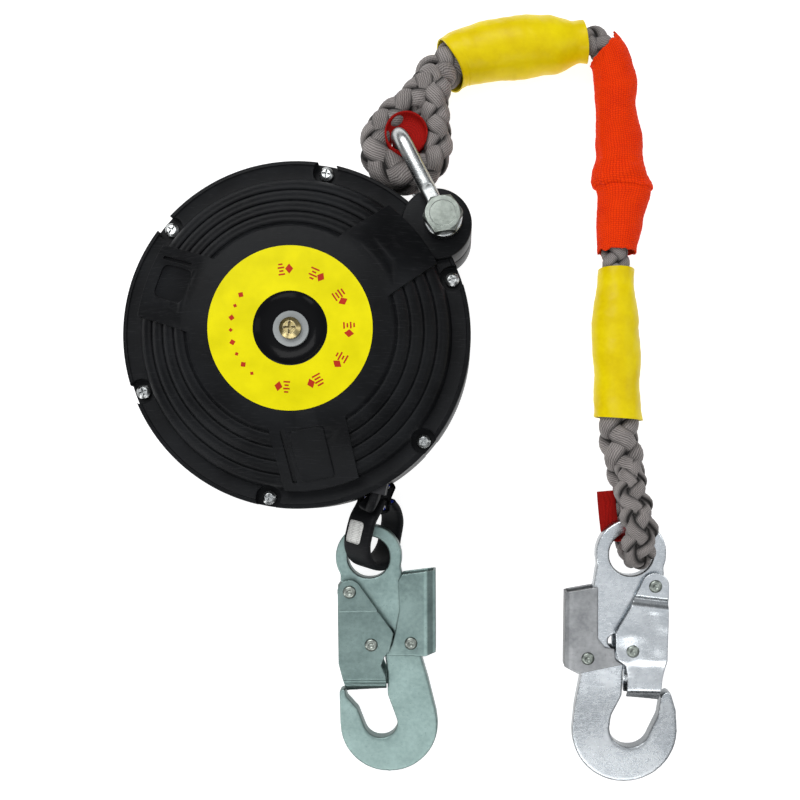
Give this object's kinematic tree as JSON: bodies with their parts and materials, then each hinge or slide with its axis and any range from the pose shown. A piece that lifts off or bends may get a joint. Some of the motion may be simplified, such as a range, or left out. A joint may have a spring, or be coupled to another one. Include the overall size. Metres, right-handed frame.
{
  "type": "self retracting lifeline",
  "caption": "Round reel of retracting safety webbing with a shackle, a short spliced rope lanyard and a snap hook on each end; it locks when the line is pulled out fast.",
  "frame": {"origin": "on the reel's axis, in the plane of the flat back face that it rests on", "axes": "+Z out of the label side along the reel's axis, -Y the way the webbing leaves, +X to the right seen from the label side"},
  "size_m": [0.2827, 0.4066, 0.064],
  "materials": {
    "casing_plastic": "satin moulded black",
    "label_yellow": "printed film",
    "grey_nylon": "moulded",
    "yellow_zinc": "yellow passivated zinc",
    "bright_zinc": "bright zinc plated",
    "dull_zinc": "blue passivated zinc",
    "spring_steel": "oiled spring steel",
    "plate_steel": "zinc plated plate",
    "bush_brass": "sintered",
    "friction_lining": "woven lining",
    "black_rubber": "soft moulded",
    "webbing_white": "woven with blue edges",
    "rope_grey": "plaited",
    "liner_red": "woven",
    "sleeve_yellow": "shrunk film",
    "cover_orange": "woven"
  },
  "bodies": {
    "housing": {"front_cover": "casing_plastic", "back_cover": "casing_plastic", "label": "label_yellow", "front_washer": "grey_nylon", "front_screw": "yellow_zinc", "cover_screws": "bright_zinc", "frame_plate_front": "plate_steel", "frame_plate_back": "plate_steel", "frame_spacers": "plate_steel", "ear_bush": "bush_brass", "hub_bushes": "bush_brass", "centre_rod": "plate_steel", "spring_case": "plate_steel", "power_spring": "spring_steel", "friction_discs": "friction_lining", "pressure_ring": "plate_steel", "brake_screws": "plate_steel", "outlet_guide": "black_rubber"},
    "drum": {"drum_hub": "plate_steel", "drum_flanges": "plate_steel", "webbing_coil": "webbing_white", "pawl_carrier": "plate_steel", "pawl_pins": "plate_steel"},
    "pawl_a": {"pawl_a": "bush_brass"},
    "pawl_b": {"pawl_b": "bush_brass"},
    "brake_ring": {"ratchet_ring": "plate_steel"},
    "lifeline_end": {"webbing_tail": "webbing_white", "webbing_loop": "webbing_white", "loop_sleeve": "black_rubber"},
    "lower_hook": {"lower_hook_plate": "dull_zinc", "lower_hook_rivets": "dull_zinc", "lower_hook_gate_spring": "spring_steel", "lower_hook_lever_spring": "spring_steel"},
    "lower_gate": {"lower_hook_gate": "dull_zinc", "lower_hook_gate_pin": "dull_zinc"},
    "lower_lever": {"lower_hook_lever": "dull_zinc"},
    "shackle": {"shackle": "bright_zinc", "shackle_bolt": "bright_zinc", "shackle_nut": "bright_zinc"},
    "lanyard": {"rope": "rope_grey", "rope_eye_upper": "rope_grey", "rope_eye_lower": "rope_grey", "thimble_upper": "liner_red", "thimble_lower": "liner_red", "rope_sleeve_upper": "sleeve_yellow", "rope_sleeve_lower": "sleeve_yellow", "rope_cover": "cover_orange"},
    "lanyard_hook": {"lanyard_hook_plate": "bright_zinc", "lanyard_hook_rivets": "bright_zinc", "lanyard_hook_gate_spring": "spring_steel", "lanyard_hook_lever_spring": "spring_steel"},
    "lanyard_gate": {"lanyard_hook_gate": "bright_zinc", "lanyard_hook_gate_pin": "bright_zinc"},
    "lanyard_lever": {"lanyard_hook_lever": "bright_zinc"}
  },
  "joints": [
    {"name": "line_payout", "type": "slide", "parent": "housing", "child": "lifeline_end", "axis": [-0.2262, -0.9741, 0], "range_m": [0, 5], "stiffness_N_per_m": 2, "springref_m": -6},
    {"name": "drum_spin", "type": "hinge", "parent": "housing", "child": "drum", "pos_m": [0, 0, 0.031], "axis": [0, 0, -1], "range_deg": [0, 7740]},
    {"name": "pawl_a_swing", "type": "hinge", "parent": "drum", "child": "pawl_a", "pos_m": [0.021, 0, 0.051], "axis": [0, 0, 1], "range_deg": [0, 18], "stiffness_Nm_per_rad": 0.002, "springref_deg": -28.65},
    {"name": "pawl_b_swing", "type": "hinge", "parent": "drum", "child": "pawl_b", "pos_m": [-0.021, 0, 0.051], "axis": [0, 0, 1], "range_deg": [0, 18]},
    {"name": "brake_slip", "type": "hinge", "parent": "housing", "child": "brake_ring", "pos_m": [0, 0, 0.05], "axis": [0, 0, -1], "range_deg": [0, 360]},
    {"name": "lower_hook_pivot", "type": "hinge", "parent": "lifeline_end", "child": "lower_hook", "pos_m": [0.033, -0.1114, 0.0161], "axis": [0, -0.1045, 0.9945], "range_deg": [-20, 20]},
    {"name": "lower_lever_press", "type": "hinge", "parent": "lower_hook", "child": "lower_lever", "pos_m": [0.055, -0.15665, 0.01135], "axis": [0, -0.1045, 0.9945], "range_deg": [0, 14], "stiffness_Nm_per_rad": 0.8, "springref_deg": -17.19},
    {"name": "lower_gate_swing", "type": "hinge", "parent": "lower_hook", "child": "lower_gate", "pos_m": [0.0232, -0.1291, 0.01424], "axis": [0, -0.1045, 0.9945], "range_deg": [0, 18]},
    {"name": "shackle_pivot", "type": "hinge", "parent": "housing", "child": "shackle", "pos_m": [0.07253, 0.05545, 0.031], "axis": [0, 0, 1], "range_deg": [-155, 0]},
    {"name": "lanyard_pivot", "type": "hinge", "parent": "shackle", "child": "lanyard", "pos_m": [0.05029, 0.09911, 0.031], "axis": [0, 0, 1], "range_deg": [0, 155]},
    {"name": "lanyard_hook_pivot", "type": "hinge", "parent": "lanyard", "child": "lanyard_hook", "pos_m": [0.17, -0.1096, 0.01795], "axis": [0, -0.1132, 0.9936], "range_deg": [-20, 20]},
    {"name": "lanyard_lever_press", "type": "hinge", "parent": "lanyard_hook", "child": "lanyard_lever", "pos_m": [0.148, -0.16454, 0.0117], "axis": [0, -0.1132, 0.9936], "range_deg": [-14, 0], "stiffness_Nm_per_rad": 0.8, "springref_deg": 17.19},
    {"name": "lanyard_gate_swing", "type": "hinge", "parent": "lanyard_hook", "child": "lanyard_gate", "pos_m": [0.1823, -0.1259, 0.0161], "axis": [0, -0.1132, 0.9936], "range_deg": [-16, 0]}
  ],
  "couplings": [
    {"joint": "drum_spin", "follows": "line_payout", "rad_per_m": 27.018},
    {"joint": "pawl_b_swing", "follows": "pawl_a_swing", "ratio": 1},
    {"joint": "lower_gate_swing", "follows": "lower_lever_press", "ratio": 1.2857},
    {"joint": "lanyard_pivot", "follows": "shackle_pivot", "ratio": -1},
    {"joint": "lanyard_gate_swing", "follows": "lanyard_lever_press", "ratio": 1.1429}
  ]
}
